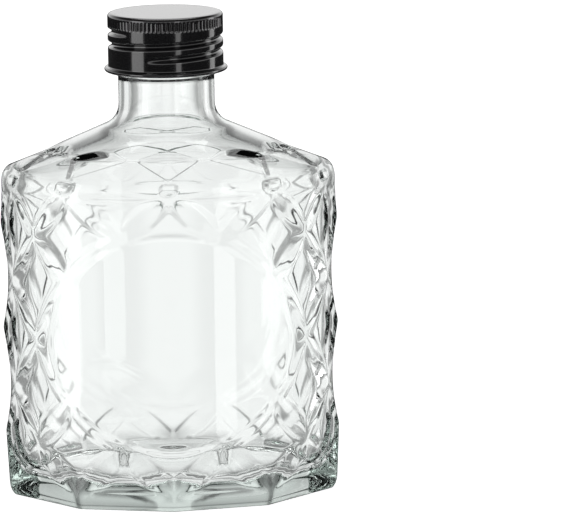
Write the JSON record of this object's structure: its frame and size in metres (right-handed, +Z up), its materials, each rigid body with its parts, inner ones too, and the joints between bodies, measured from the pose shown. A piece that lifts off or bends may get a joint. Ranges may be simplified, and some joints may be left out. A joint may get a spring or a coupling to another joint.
{
  "type": "screw-cap glass flask",
  "caption": "Clear glass flask with a moulded diamond lattice, round windows front and back, sloping shoulders and a black screw cap.",
  "frame": {"origin": "middle of the base, on the surface that the flask stands on", "axes": "+Z up along the neck, the front window faces -Y, the flask is widest along X"},
  "size_m": [0.0838, 0.0534, 0.1208],
  "materials": {
    "clear_glass": "fire-polished clear glass with a faint grey-green tint where it is thick",
    "black_aluminium": "glossy black lacquer",
    "white_foam": "matt expanded foam"
  },
  "bodies": {
    "bottle": {"glass_bottle": "clear_glass"},
    "liner": {"cap_liner": "white_foam"},
    "cap": {"cap_shell": "black_aluminium"}
  },
  "joints": [
    {"name": "cap_lift", "type": "slide", "parent": "bottle", "child": "liner", "axis": [0, 0, 1], "range_m": [0, 0.00522]},
    {"name": "cap_turn", "type": "hinge", "parent": "liner", "child": "cap", "pos_m": [0, 0, 0.113], "axis": [0, 0, 1], "range_deg": [0, 590]}
  ],
  "couplings": [
    {"joint": "cap_lift", "follows": "cap_turn", "m_per_rad": 0.00050532}
  ]
}
